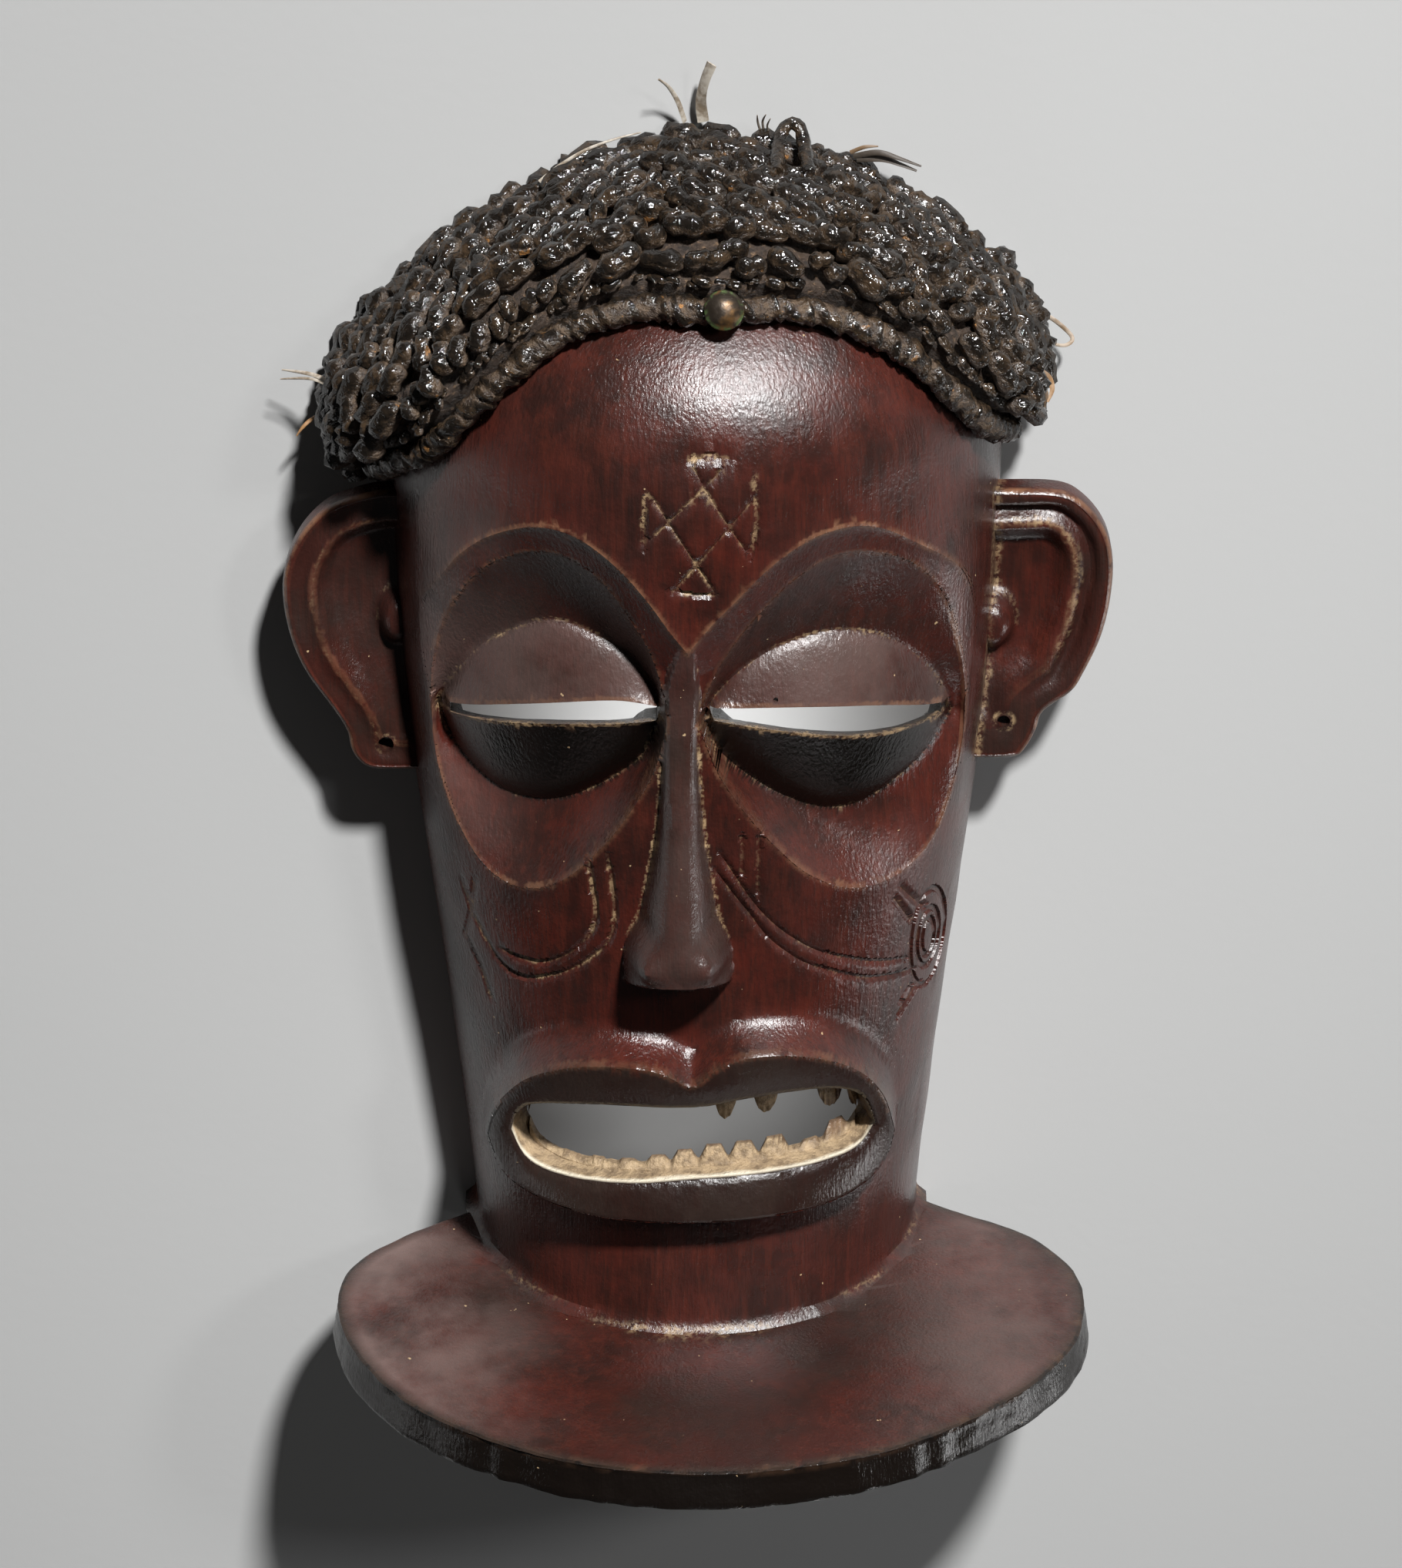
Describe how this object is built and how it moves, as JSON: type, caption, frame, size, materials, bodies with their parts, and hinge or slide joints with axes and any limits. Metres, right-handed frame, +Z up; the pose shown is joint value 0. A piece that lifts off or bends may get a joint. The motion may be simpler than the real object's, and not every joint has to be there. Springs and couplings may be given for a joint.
{
  "type": "carved wooden face mask",
  "caption": "Carved wooden face mask with half-closed slit eyes, open mouth, large ears, a flat disc beard and a knotted fibre wig, hollow behind.",
  "frame": {"origin": "middle of the bounding box at the underside, in the plane of the back rim that the mask lies on", "axes": "+X across the face toward the viewer's right, +Y from the beard to the crown, +Z up out of the face"},
  "size_m": [0.218, 0.3364, 0.1327],
  "materials": {
    "stained_wood": "polished",
    "dark_fibre": "waxed",
    "bound_fibre": "matte",
    "tarnished_brass": "tarnished"
  },
  "bodies": {
    "root": {"carved_mask": "stained_wood", "fibre_wig": "dark_fibre", "wig_edge_roll": "bound_fibre", "brass_tack": "tarnished_brass"}
  },
  "joints": []
}
